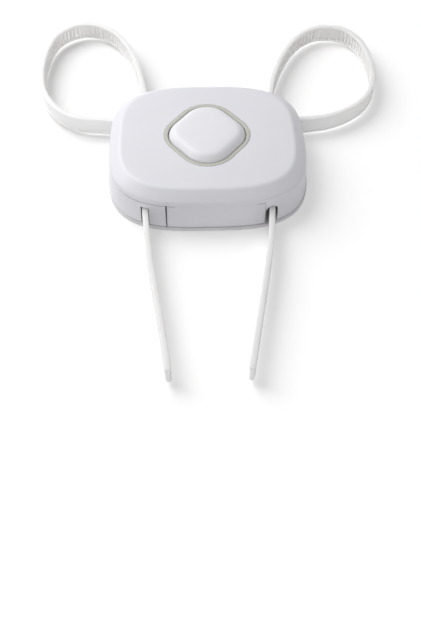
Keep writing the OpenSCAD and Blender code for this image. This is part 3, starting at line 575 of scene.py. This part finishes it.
def route_points(side):
    """Places on one strap's route, from the tail's tip to the head."""
    tails = tail_left_shares if side < 0 else tail_right_shares
    x = strap_x[side]
    bend = (x - strap_t / 12, half_h * 0.33) if side < 0 else (x + strap_t / 4, half_h * 0.25)
    places = [(x - side * a * tail_l, -half_h - b * tail_l) for a, b in tails]
    places += [(x, share * half_h) for share in run_shares]
    places += [(x, pivot_y - nose_reach), (x, pivot_y - (1.5 if side > 0 else 0)), bend]
    places += [loop_place(side, a, b) for a, b in loops[side][2]]
    return [Vector(p) for p in places] + [anchor[side]]


nose_point = 8
route = {side: smooth_line(route_points(side)) for side in (-1, 1)}
# A strap crosses the loop-side wall this share of the way from its loop's first place to the second.
way_in = {}
for side, share in ((-1, 0.51), (1, 0.62)):
    width, _, shares = loops[side]
    way_in[side] = side * (half_w + width * (shares[0][0] * (1 - share) + shares[1][0] * share))
print("straps cross the loop-side wall at", [round(x, 1) for x in way_in.values()])

# %% [markdown]
# ## Bosses and slots
#
# Both halves hang their screw bosses, the boss over the pawl's pin and the collar round the strap's
# head from the ceiling, and both have slots where a strap passes a wall. They are rods and blocks
# that the next cells join on or cut out.

# %% Bosses and slots
slide_gap, panel_gap, plate_t = 0.3, 0.2, 1.4
slot_top, slot_half = 9.2, strap_t / 2 + 0.7
slot_left_w, slot_right_w = 3, 4.7
tail_wall, loop_wall = (-half_h - 3, -half_h / 2), (half_h * 0.75, half_h + 3)
boss_r, pawl_r, screw_r, pin_r, head_r = 2.1, 2.4, 1.1, 1, 2
split_x, latch_edge = panel_lo.x - 0.4, panel_lo.x - 0.8
# The photograph shows a thin slit, and hardly any seam over the panel, so both are narrower here than the
# working gaps of the frame: the latch half's end and a panel's left end and top reach a little further.
latch_face, panel_left, panel_top = latch_edge + 0.15, panel_lo.x - 0.1, seam_z + 0.25
screws = {-1: [(8 - half_w, half_h * 0.7), (8.5 - half_w, -half_h * 0.65)],
          1: [(half_w - 8, half_h * 0.69), (half_w - 8, -half_h * 0.64)]}
mid_screws = [(panel_lo.x + 6.6, y) for y in (24.25, -24.25)]
pin_top, screw_tip = 10, 8.5
across, along, button_y, diamond_points = 5, 6.3, 0.4, 256
ring_in, ring_foot, ring_out = 10.2, 11, 11.65


def on_diamond(angle, row):
    """A point of the rounded diamond: round corners on the axes, joined by straight sides."""
    t = angle + math.pi / diamond_points
    c, d = math.cos(t), math.sin(t)
    sideways = abs(math.remainder(t, math.pi)) < math.atan2(across, along)
    return Vector((math.copysign(across, c) * sideways + row[0] * c,
                   math.copysign(along, d) * (not sideways) + row[0] * d + button_y, row[1]))


def bosses(side, top):
    """Screw bosses, pawl boss and the collar round the strap's head, hanging from top."""
    made = [rod(x, y, plate_t + 0.6, top, boss_r) for x, y in screws[side]]
    made.append(rod(*pivot[side], 7.4, top, pawl_r))
    made.append(rod(*anchor[side], wall_z, top, head_r + 1.45))
    return made


def boss_holes(side):
    """Pilot holes, pin hole, and the pocket and channel that hold the strap's head."""
    made = [rod(x, y, -over, screw_tip + over, screw_r + 0.05) for x, y in screws[side]]
    made.append(rod(*pivot[side], -over, pin_top + 0.05, pin_r + 0.05))
    made.append(rod(*anchor[side], -over, slot_top, head_r + 0.25))
    channel = block((0, -strap_t / 2 - 0.35, -over), (2 * anchor_in, strap_t / 2 + 0.35, slot_top))
    settle()
    last = Vector(loop_place(side, *loops[side][2][-1])) - anchor[side]
    channel.rotation_euler.z = math.atan2(last.y, last.x)
    channel.location = (*anchor[side], 0)
    return made + [channel]


def strap_slot(x0, x1, y0, y1, round_top):
    """A slot through a wall for a strap, open downwards."""
    r = (x1 - x0) / 2 if round_top else 0
    made = [block((x0, y0, -over), (x1, y1, slot_top - r))]
    if round_top:
        made.append(rod((x0 + x1) / 2, slot_top - r, y0, y1, r, turn=(math.pi / 2, 0, 0)))
    return made


# %% [markdown]
# ## Front cover
#
# The cover is the face with its bevel, the rim over the half that pulls out, and the whole right-hand
# wall. A disc could be extruded upwards and then hollowed with a second solid. Here the disc starts as
# the ceiling inside, goes down the inner wall, turns round the foot and comes up outside, so the shell
# is closed and has its thickness from the start. What belongs to other pieces is then cut away.

# %% Front cover
ceiling_z = face_z - wall
rim_z = seam_z + slide_gap
cover = rise("cover", shell_rows(wall_z, face_z), on_outline)
carve(cover, block((-far, -far, -far), (panel_hi.x + panel_gap / 2, far, rim_z)))
inside = bosses(1, ceiling_z + 1) + [rod(*p, plate_t + 1, ceiling_z + 1, boss_r) for p in mid_screws]
rib_x = [-across - 13.8 + s for s in (0, -7)]
inside += [block((x - wall / 2, -half_h * 0.6, rim_z), (x + wall / 2, half_h * 0.6, face_z)) for x in rib_x]
for part in inside:
    carve(part, root_room(ceiling_z), "INTERSECT")
    carve(cover, part, "UNION")
tail_x = (strap_x[1] - slot_right_w / 2, strap_x[1] + slot_right_w / 2)
cuts = boss_holes(1) + [rod(*p, -over, screw_tip + over, screw_r + 0.05) for p in mid_screws]
for name, r, foot in (("seat", ring_foot + 0.05, ceiling_z - over),
                      ("ledge", ring_out + 0.1, ceiling_z + 0.7)):
    cuts.append(rise(name, [(r, foot), (r, face_z + over)], on_diamond, diamond_points))
cuts += strap_slot(*tail_x, *tail_wall, True)
cuts += strap_slot(way_in[1] - slot_half, way_in[1] + slot_half, *loop_wall, False)
for part in cuts:
    carve(cover, part)
ease_edges(cover, 0.15, lambda p: abs(p.z - rim_z) < 0.01 and beyond(p, 0.7) and p.x < split_x)
ease_edges(cover, 0.3, lambda p: p.y < -half_h + 1 and tail_x[0] - 0.01 < p.x < tail_x[1] + 0.01
           and wall_z + 0.1 < p.z < slot_top + 0.01 and beyond(p, 0.7))
done(cover, "moulded_front_cover", "front_cover")

# %% [markdown]
# ## Latch half
#
# This half slides out to the left. It has its own walls under the cover's rim, a deck with two small
# core holes, and a tongue that reaches under the button. It is built as the cover is, from its inner
# ceiling round to its deck, then cut off straight at the split and given its end wall and tongue.

# %% Latch half
deck_t, tongue_top, tongue_y, floor_top = 1.2, seam_z - 1, half_h - 16.7, wall_z + 1.1
tongue_root = latch_edge - wall
clip_lo, clip_hi = limits("latch_clip")
barb_edge = latch_edge + 10.6
body = rise("latch", shell_rows(wall_z, seam_z, deck_t), on_outline)
carve(body, block((latch_face, -far, -far), (far, far, far)))
end_wall = block((tongue_root, -far, wall_z), (latch_face, far, seam_z))
carve(end_wall, rise("room", [(hollow_inset - 0.6, 0), (hollow_inset - 0.6, seam_z - 0.3)], on_outline),
      "INTERSECT")
carve(body, end_wall, "UNION")
for part in bosses(-1, seam_z - deck_t / 2):
    carve(part, root_room(ceiling_z), "INTERSECT")
    carve(body, part, "UNION")
for lo, hi in [((tongue_root, -tongue_y, tongue_top - deck_t), (tongue_tip, tongue_y, tongue_top)),
               ((tongue_tip - wall, -tongue_y, floor_top), (tongue_tip, tongue_y, tongue_top)),
               ((tongue_root, -tongue_y, floor_top), (tongue_tip, wall - tongue_y, tongue_top)),
               ((tongue_root, tongue_y - wall, floor_top), (tongue_tip, tongue_y, tongue_top))]:
    carve(body, block(lo, hi), "UNION")
cuts = boss_holes(-1)
cuts.append(block((tongue_root - wall, -tongue_y, -over), (latch_edge + over, tongue_y, floor_top)))
cuts.append(block((barb_edge - 0.4, -tongue_y - over, clip_lo.z - 0.4),
                  (barb_edge + 4.4, tongue_y + over, clip_hi.z + 0.4)))
slot_x0, slot_x1 = (split_x + (tongue_tip - split_x) * k for k in (0.12, 0.86))
cuts.append(block((slot_x0, tongue_y * 0.22, tongue_top - deck_t - over),
                  (slot_x1, tongue_y * 0.27, tongue_top + over)))
cuts.append(block((tongue_tip - 2 * wall, tongue_y * -0.2, tongue_top - deck_t - over),
                  (tongue_tip + over, tongue_y * 0.08, tongue_top + over)))
core_apart, core_share, core_r = 3.85, 0.35, 1.1
for x in (anchor[-1].x, anchor[-1].x + core_apart):
    cuts.append(rod(x, half_h * core_share, seam_z - deck_t - over, seam_z + over, core_r))
cuts += strap_slot(strap_x[-1] - slot_half, strap_x[-1] - slot_half + slot_left_w, *tail_wall, False)
cuts += strap_slot(way_in[-1] - slot_half, way_in[-1] + slot_half, *loop_wall, False)
for part in cuts:
    carve(body, part)
ease_edges(body, 0.15, lambda p: abs(p.x - latch_face) < 0.01 and beyond(p, 0.8) and p.z > 2
           or abs(p.z - tongue_top) < 0.01 and p.x > latch_edge
           or abs(p.z - seam_z) < 0.01)
done(body, "moulded_latch_half", "latch_body")

# %% [markdown]
# ## Release panels
#
# The stretch of wall between the slit and the right-hand slot is a loose panel on either side. Pressed
# in, its plunger pushes a barb of the latch through a window. The top panel is a strip of the same
# outline, closed into a ring with its shelf and lip, and the bottom one is its mirror image.

# %% Release panels
lip_in, lip_out, lip_h = 2.7, 1.7, 1
strip = [(lip_in, seam_z - lip_h), (hollow_inset, seam_z - lip_h), (hollow_inset, wall_z),
         (wall_inset(wall_z), wall_z, 0.12), (wall_inset(seam_z), panel_top, 0.03), (lip_out, panel_top),
         (lip_out, seam_z + lip_h), (lip_in, seam_z + lip_h)]
strip = rounded([row if len(row) == 3 else (*row, 0) for row in strip], 3)
panel = rise("panel", strip + strip[:1], on_outline, ring=True)
carve(panel, block((panel_left, 0, 0), (panel_hi.x, far, far)), "INTERSECT")
for x0, x1 in ((-far, panel_lo.x + 2 * wall), (panel_hi.x - 2 * wall, far)):
    carve(panel, block((x0, 0, seam_z), (x1, far, far)))
inner_y, spring_x, spring_z, fin_l, fin_h = half_h - hollow_inset, 6, 6.4, 10.8, 7
for x in (panel_lo.x + 2.5, spring_x + 5.3):
    carve(panel, block((x - 0.6, inner_y - fin_l, wall_z + slide_gap),
                       (x + 0.6, inner_y + 0.2, wall_z + slide_gap + fin_h)), "UNION")
carve(panel, block((barb_edge + 0.2, clip_hi.y + 0.2, 4.3), (barb_edge + 3.8, inner_y + 0.3, 7.5)), "UNION")
carve(panel, rod(spring_x, spring_z, inner_y - 2.7, inner_y + 0.3, 1.8, turn=(math.pi / 2, 0, 0)), "UNION")
ease_edges(panel, 0.12, lambda p: p.x < panel_left + 0.01 and beyond(p, 0.7))
only(panel)
bpy.ops.object.duplicate()
twin = bpy.context.object
twin.scale.y = -1
settle()
face_outwards()
done(panel, "moulded_panel_top", "release_panel_top")
done(twin, "moulded_panel_bottom", "release_panel_bottom")

# %% [markdown]
# ## Trim ring and centre button
#
# Both are rounded diamonds. Turning a square would give sharp corners, so each point of a circle is
# pushed out along the nearer axis, which leaves quarter-circle corners and straight sides. The ring is
# a closed band. The button is a cap: its rows start at the inner ceiling, go down inside, out round the
# flange that keeps it in, and up to a top that is very slightly domed.

# %% Trim ring and centre button
ring_lo, ring_hi = limits("button_ring")
button_lo, button_hi = limits("decoy_button")
band = [(ring_in, ring_lo.z, 0), (ring_foot, ring_lo.z, 0), (ring_foot, ceiling_z + 0.75, 0),
        (ring_out, ceiling_z + 0.75, 0), (ring_out, ring_hi.z, 0.25), (ring_in, ring_hi.z, 0.35)]
band = rounded(band, 4)
ring = rise("ring", band + band[:1], on_diamond, diamond_points, ring=True)
done(ring, "moulded_trim_ring", "button_ring")

button_r, plateau_r, dome = 9.8, 7.5, 0.15
roof_r, hollow_r, flange_r, roof_t, bevel_h = 6.2, 8.6, 12.3, 1.4, 2.4
# The flange stops short of the button's lowest point, because the stem alone goes down to the tray.
flange_lo, flange_hi = button_lo.z + 1, button_lo.z + 2
shoulder = rounded([(button_r, flange_hi, 0), (button_r, button_hi.z - bevel_h, 0.8),
                    (plateau_r, button_hi.z - dome, 1.6), (0.01, button_hi.z - dome, 0)], 8)[:-1]
domed = [(plateau_r * k, button_hi.z - dome * k * k) for k in (0.7, 0.5, 0.3, 0.1)]
cap = [(roof_r, button_hi.z - roof_t), (roof_r, button_hi.z - bevel_h), (hollow_r, button_hi.z - bevel_h),
       (hollow_r, flange_lo), (flange_r, flange_lo), (flange_r, flange_hi)]
button = rise("button", cap + shoulder + domed, on_diamond, diamond_points)
carve(button, rod(0, button_y, button_lo.z, button_hi.z - 1, 1.6), "UNION")
done(button, "moulded_button", "decoy_button")

# %% [markdown]
# ## Straps
#
# A strap is a ladder: two rails with rungs between them that the pawl's nose drops into. One rung is
# modelled as a short block, cut into bands, with the window between rungs pushed in from one side and
# the band between the rails pushed in from the other. An Array repeats it, and the plain ends are the
# same block without the window. Curve modifiers stretch such a strip unevenly, so each point is moved
# to its place along the route instead, by its distance from the tip.

# %% Strap cells
rail_h, rung, pitch, tooth_depth, back_depth = 1.2, 0.8, 2, 0.9, 0.4


def strap_cell(length, window):
    """One pitch of strap along X: +Y is the toothed face, the length runs from 0."""
    cell = block((0, -strap_t / 2, 0), (length, strap_t / 2, strap_w))
    settle()
    bpy.ops.object.mode_set(mode="EDIT")
    cuts = [((0, 0, rail_h), (0, 0, 1)), ((0, 0, strap_w - rail_h), (0, 0, 1))]
    cuts += [((x, 0, 0), (1, 0, 0)) for x in ((rung / 2, length - rung / 2) if window else (length / 2,))]
    for place, normal in cuts:
        bpy.ops.mesh.select_all(action="SELECT")
        bpy.ops.mesh.bisect(plane_co=place, plane_no=normal)
    middle = strap_w / 2
    if window:
        choose_faces(cell, lambda c, n: n.y > 0.9 and abs(c.z - middle) < 1 and abs(c.x - length / 2) < 0.1)
        bpy.ops.mesh.extrude_region_move(TRANSFORM_OT_translate={"value": (0, -tooth_depth, 0)})
    choose_faces(cell, lambda c, n: n.y < -0.9 and abs(c.z - middle) < 1)
    bpy.ops.mesh.extrude_region_move(TRANSFORM_OT_translate={"value": (0, back_depth, 0)})
    choose_faces(cell, lambda c, n: abs(n.x) > 0.9 and (c.x < 0.01 or c.x > length - 0.01))
    bpy.ops.mesh.delete(type="FACE")
    choose_edges(cell, lambda a, b: abs(a.x - b.x) > 0.1 and abs(abs(a.y) - strap_t / 2) < 0.01
                 and min(a.z, strap_w - a.z) < 0.01)
    bpy.ops.mesh.bevel(offset=0.35, segments=3, affect="EDGES")
    choose_edges(cell, lambda a, b: abs(a.x - b.x) > 0.1 and a.y < 0.1 and a.y == b.y
                 and min(abs(a.z - rail_h), abs(a.z - strap_w + rail_h)) < 0.01)
    bpy.ops.mesh.bevel(offset=0.12, segments=2, affect="EDGES")
    if window:
        choose_edges(cell, lambda a, b: a.y > strap_t / 2 - 0.01 and b.y > strap_t / 2 - 0.01
                     and abs(a.z - middle) < 2.45 and abs(b.z - middle) < 2.45
                     and 0.3 < a.x < length - 0.3 and 0.3 < b.x < length - 0.3)
        bpy.ops.mesh.bevel(offset=0.1, segments=2, affect="EDGES")
    bpy.ops.object.mode_set(mode="OBJECT")
    return cell


def strap_run(start, end, window):
    """Cells in a row from one distance along the strap to another."""
    count = max(1, round((end - start) / pitch))
    length = (end - start) / count
    run = strap_cell(length, window)
    apply(run, "ARRAY", count=count, use_relative_offset=False, use_constant_offset=True,
          constant_offset_displace=(length, 0, 0), use_merge_vertices=True, merge_threshold=0.001)
    run.location.x = start
    return run


# %% Straps
tip_start, tip_l, tip_rows = 0.1, 1.6, 6
teeth_from, teeth_to = 0.09, 0.84


def strap(side, node, name):
    """Lays a strap along its route, closes its tip and joins on its round head."""
    line = route[side]
    run = [0]
    for a, b in zip(line, line[1:]):
        run.append(run[-1] + (b - a).length)
    nose = run[nose_point * steps_per_span]
    first = nose + (math.ceil((run[-1] * teeth_from - nose) / pitch) + 0.5) * pitch
    last = nose + (math.floor((run[-1] * teeth_to - nose) / pitch) + 0.5) * pitch
    parts = [strap_run(tip_start, first, False), strap_run(first, last, True),
             strap_run(last, run[-1], False)]
    only(*parts)
    bpy.ops.object.join()
    piece = bpy.context.object
    settle()
    bpy.ops.object.mode_set(mode="EDIT")
    for i in range(1, tip_rows):
        bpy.ops.mesh.select_all(action="SELECT")
        bpy.ops.mesh.bisect(plane_co=(tip_start + tip_l * (i / tip_rows) ** 1.7, 0, 0), plane_no=(1, 0, 0))
    bpy.ops.mesh.select_all(action="SELECT")
    bpy.ops.mesh.remove_doubles(threshold=0.002)
    for end in (tip_start, run[-1]):
        choose_edges(piece, lambda a, b: abs(a.x - end) < 0.003 and abs(b.x - end) < 0.003)
        bpy.ops.mesh.edge_face_add()
    bpy.ops.object.mode_set(mode="OBJECT")
    for v in piece.data.vertices:
        s = min(max(v.co.x, tip_start), run[-1])
        i = min(bisect.bisect_right(run, s), len(run) - 1)
        a, b = line[i - 1], line[i]
        t = (s - run[i - 1]) / (run[i] - run[i - 1])
        here = a + (b - a) * t
        before, after = line[max(i - 2, 0)], line[min(i + 1, len(line) - 1)]
        along = ((b - before).normalized() * (1 - t) + (after - a).normalized() * t).normalized()
        ease = math.sqrt(1 - max(0, 1 - (s - tip_start) / tip_l) ** 2)
        ease = 0.45 + 0.55 * ease
        off = v.co.y * ease * (-side)
        v.co = (here.x - along.y * off, here.y + along.x * off,
                strap_z + strap_w / 2 + (v.co.z - strap_w / 2) * (0.92 + 0.08 * ease))
    face_outwards()
    head = rod(*anchor[side], strap_z, strap_z + strap_w, head_r)
    ease_edges(head, 0.35, lambda p: True, segments=3)
    carve(piece, head, "UNION")
    return done(piece, name, node, smooth=40)


strap(-1, "strap_left", "toothed_strap_left")
strap(1, "strap_right", "toothed_strap_right")

# %% [markdown]
# ## Rear plates, latch frame, clip, pawls and small metal parts
#
# These already have their right shapes in the frame, but with razor edges that no moulding or stamping
# has, and light never catches on a razor edge. Each is copied, its loose triangles are merged back
# into faces, and a Bevel modifier rounds its edges by the radius that its real process leaves.

# %% Softened copies


def softened(node, name, width, angle=30, segments=2):
    """A copy of a frame node with merged faces and rounded edges."""
    source = frame["nodes"][node]
    piece = bpy.data.objects.new(name, source.data.copy())
    bpy.context.scene.collection.objects.link(piece)
    only(piece)
    # These stay in one session of edit mode, because the dissolve comes out differently after leaving it.
    bpy.ops.object.mode_set(mode="EDIT")
    bpy.ops.mesh.select_all(action="SELECT")
    bpy.ops.mesh.remove_doubles(threshold=0.000001)
    bpy.ops.mesh.dissolve_limited(angle_limit=math.radians(1))
    bpy.ops.mesh.normals_make_consistent(inside=False)
    bpy.ops.object.mode_set(mode="OBJECT")
    for v in piece.data.vertices:
        v.co /= MM
    apply(piece, "BEVEL", width=width, segments=segments, limit_method="ANGLE",
          angle_limit=math.radians(angle), use_clamp_overlap=True)
    return done(piece, name, node)


for node, name, width in [
        ("rear_cover", "moulded_rear_cover", 0.2), ("latch_cover", "moulded_latch_plate", 0.2),
        ("inner_frame", "moulded_inner_frame", 0.12), ("latch_clip", "moulded_spring_clip", 0.15),
        ("pawl_left", "moulded_pawl_left", 0.12), ("pawl_right", "moulded_pawl_right", 0.12),
        ("pawl_pin_left", "steel_pin_left", 0.15), ("pawl_pin_right", "steel_pin_right", 0.15),
        ("pawl_spring_left", "steel_leaf_left", 0.05), ("pawl_spring_right", "steel_leaf_right", 0.05),
        ("housing_screws", "steel_screws_housing", 0.06), ("latch_screws", "steel_screws_latch", 0.06)]:
    softened(node, name, width)

# %% [markdown]
# ## Coil springs
#
# A spring is a round wire wound on a rod. A curve with a bevel would do, and so would the Screw
# modifier, which is used here: a small circle stands beside the axis and is swept round and up. The
# sweep leaves the wire open at both ends, so its two round ends are filled.

# %% Coil springs
wire, wire_sides = 0.5, 12


def coil(node, name, turns, axis_y):
    """A spring that fills its node's box, standing up, or lying along Y."""
    lo, hi = limits(node)
    middle, size = (lo + hi) / 2, hi - lo
    width, length = size.x, size.y if axis_y else size.z
    only()
    bpy.ops.mesh.primitive_circle_add(vertices=wire_sides, radius=wire / 2, fill_type="NOTHING",
                                      location=(width / 2 - wire / 2, 0, 0), rotation=(math.pi / 2, 0, 0))
    piece = bpy.context.object
    settle()
    apply(piece, "SCREW", angle=2 * math.pi, screw_offset=(length - wire) / turns, iterations=turns, steps=32,
          render_steps=32, axis="Z", use_merge_vertices=False)
    piece.location = (middle.x, middle.y, lo.z + wire / 2)
    if axis_y:
        piece.rotation_euler.x = -math.pi / 2
        piece.location = (middle.x, lo.y + wire / 2, middle.z)
    only(piece)
    on_all(bpy.ops.mesh.fill_holes, sides=wire_sides)
    face_outwards()
    done(piece, name, node)
    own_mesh(piece)


coil("button_spring", "steel_coil_button", 5, False)
coil("release_spring_top", "steel_coil_top", 7, True)
coil("release_spring_bottom", "steel_coil_bottom", 7, True)

# %% [markdown]
# ## Last measures
#
# The dressed part must not grow past the frame's box. Each piece prints how far it reaches past its node's
# box as it is done; this cell only clears the selection.

# %% Last measures
only()
